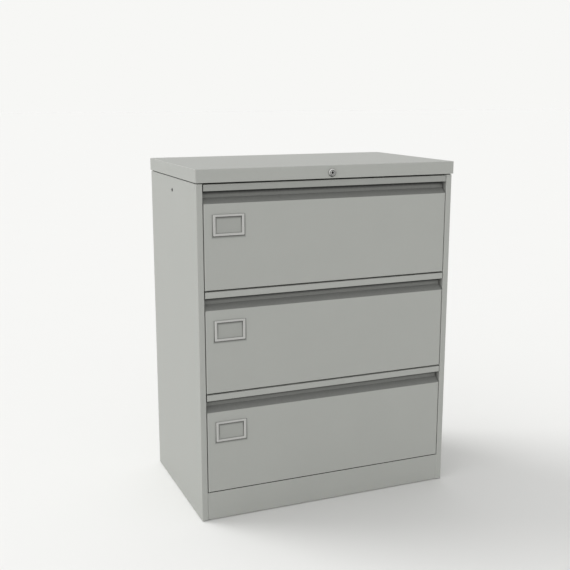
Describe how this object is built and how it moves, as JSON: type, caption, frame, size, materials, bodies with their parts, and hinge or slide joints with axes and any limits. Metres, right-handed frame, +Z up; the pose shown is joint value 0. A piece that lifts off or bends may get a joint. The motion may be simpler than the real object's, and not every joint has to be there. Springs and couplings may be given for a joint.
{
  "type": "lateral filing cabinet",
  "caption": "Wide low filing cabinet in folded painted steel, with full-width flush-grip drawers on telescopic runners, card holders and a central lock.",
  "frame": {"origin": "on the floor, under the middle of the overall box", "axes": "+Z up, +X to the right of someone facing the drawers, -Y towards that person, so the drawers open along -Y"},
  "size_m": [0.805, 0.491, 1.016],
  "materials": {
    "grey_paint": "satin light grey powder coat",
    "zinc_plate": "bright zinc plate",
    "chrome": "polished",
    "black_nylon": "moulded, matt"
  },
  "bodies": {
    "carcass": {"left_side_panel": "grey_paint", "right_side_panel": "grey_paint", "back_panel": "grey_paint", "top_panel": "grey_paint", "base_panel": "grey_paint", "plinth_panel": "grey_paint", "top_front_rail": "grey_paint", "left_front_post": "grey_paint", "left_rear_post": "grey_paint", "right_front_post": "grey_paint", "right_rear_post": "grey_paint", "levelling_foot_front_left": "black_nylon", "levelling_foot_front_right": "black_nylon", "levelling_foot_rear_left": "black_nylon", "levelling_foot_rear_right": "black_nylon", "drawer_1_left_outer_runner": "zinc_plate", "drawer_1_right_outer_runner": "zinc_plate", "drawer_2_left_outer_runner": "zinc_plate", "drawer_2_right_outer_runner": "zinc_plate", "drawer_3_left_outer_runner": "zinc_plate", "drawer_3_right_outer_runner": "zinc_plate", "lock_housing": "chrome", "lock_nut": "zinc_plate", "link_guide": "zinc_plate", "lock_bar_guide": "zinc_plate"},
    "lock_core": {"lock_plug": "chrome", "lock_cam": "zinc_plate"},
    "lock_link": {"lock_link": "zinc_plate"},
    "bell_crank": {"bell_crank": "zinc_plate"},
    "lock_bar": {"lock_bar": "zinc_plate"},
    "drawer_1": {"drawer_1_front": "grey_paint", "drawer_1_tray": "grey_paint", "drawer_1_front_file_rail": "zinc_plate", "drawer_1_rear_file_rail": "zinc_plate", "drawer_1_card_holder": "grey_paint", "drawer_1_lock_catch": "zinc_plate", "drawer_1_left_inner_runner": "zinc_plate", "drawer_1_right_inner_runner": "zinc_plate"},
    "drawer_1_left_middle_runner": {"drawer_1_left_middle_runner": "zinc_plate"},
    "drawer_1_right_middle_runner": {"drawer_1_right_middle_runner": "zinc_plate"},
    "drawer_2": {"drawer_2_front": "grey_paint", "drawer_2_tray": "grey_paint", "drawer_2_front_file_rail": "zinc_plate", "drawer_2_rear_file_rail": "zinc_plate", "drawer_2_card_holder": "grey_paint", "drawer_2_lock_catch": "zinc_plate", "drawer_2_left_inner_runner": "zinc_plate", "drawer_2_right_inner_runner": "zinc_plate"},
    "drawer_2_left_middle_runner": {"drawer_2_left_middle_runner": "zinc_plate"},
    "drawer_2_right_middle_runner": {"drawer_2_right_middle_runner": "zinc_plate"},
    "drawer_3": {"drawer_3_front": "grey_paint", "drawer_3_tray": "grey_paint", "drawer_3_front_file_rail": "zinc_plate", "drawer_3_rear_file_rail": "zinc_plate", "drawer_3_card_holder": "grey_paint", "drawer_3_lock_catch": "zinc_plate", "drawer_3_left_inner_runner": "zinc_plate", "drawer_3_right_inner_runner": "zinc_plate"},
    "drawer_3_left_middle_runner": {"drawer_3_left_middle_runner": "zinc_plate"},
    "drawer_3_right_middle_runner": {"drawer_3_right_middle_runner": "zinc_plate"}
  },
  "joints": [
    {"name": "drawer_1_slide", "type": "slide", "parent": "carcass", "child": "drawer_1", "axis": [0, -1, 0], "range_m": [0, 0.42]},
    {"name": "drawer_1_left_middle_runner_slide", "type": "slide", "parent": "carcass", "child": "drawer_1_left_middle_runner", "axis": [0, -1, 0], "range_m": [0, 0.21]},
    {"name": "drawer_1_right_middle_runner_slide", "type": "slide", "parent": "carcass", "child": "drawer_1_right_middle_runner", "axis": [0, -1, 0], "range_m": [0, 0.21]},
    {"name": "drawer_2_slide", "type": "slide", "parent": "carcass", "child": "drawer_2", "axis": [0, -1, 0], "range_m": [0, 0.42]},
    {"name": "drawer_2_left_middle_runner_slide", "type": "slide", "parent": "carcass", "child": "drawer_2_left_middle_runner", "axis": [0, -1, 0], "range_m": [0, 0.21]},
    {"name": "drawer_2_right_middle_runner_slide", "type": "slide", "parent": "carcass", "child": "drawer_2_right_middle_runner", "axis": [0, -1, 0], "range_m": [0, 0.21]},
    {"name": "drawer_3_slide", "type": "slide", "parent": "carcass", "child": "drawer_3", "axis": [0, -1, 0], "range_m": [0, 0.42]},
    {"name": "drawer_3_left_middle_runner_slide", "type": "slide", "parent": "carcass", "child": "drawer_3_left_middle_runner", "axis": [0, -1, 0], "range_m": [0, 0.21]},
    {"name": "drawer_3_right_middle_runner_slide", "type": "slide", "parent": "carcass", "child": "drawer_3_right_middle_runner", "axis": [0, -1, 0], "range_m": [0, 0.21]},
    {"name": "lock_turn", "type": "hinge", "parent": "carcass", "child": "lock_core", "pos_m": [0, -0.2145, 0.9952], "axis": [0, -1, 0], "range_deg": [0, 90]},
    {"name": "link_slide", "type": "slide", "parent": "carcass", "child": "lock_link", "axis": [1, 0, 0], "range_m": [0, 0.00995]},
    {"name": "crank_turn", "type": "hinge", "parent": "carcass", "child": "bell_crank", "pos_m": [0.3779, -0.2135, 1.00277], "axis": [0, -1, 0], "range_deg": [0, 41.5]},
    {"name": "lock_bar_lift", "type": "slide", "parent": "carcass", "child": "lock_bar", "axis": [0, 0, 1], "range_m": [0, 0.00989]}
  ],
  "couplings": [
    {"joint": "drawer_1_left_middle_runner_slide", "follows": "drawer_1_slide", "ratio": 0.5},
    {"joint": "drawer_1_right_middle_runner_slide", "follows": "drawer_1_slide", "ratio": 0.5},
    {"joint": "drawer_2_left_middle_runner_slide", "follows": "drawer_2_slide", "ratio": 0.5},
    {"joint": "drawer_2_right_middle_runner_slide", "follows": "drawer_2_slide", "ratio": 0.5},
    {"joint": "drawer_3_left_middle_runner_slide", "follows": "drawer_3_slide", "ratio": 0.5},
    {"joint": "drawer_3_right_middle_runner_slide", "follows": "drawer_3_slide", "ratio": 0.5},
    {"joint": "link_slide", "follows": "lock_bar_lift", "ratio": 1},
    {"joint": "crank_turn", "follows": "lock_bar_lift", "rad_per_m": 73.007},
    {"joint": "lock_turn", "follows": "lock_bar_lift", "rad_per_m": 158.67}
  ]
}
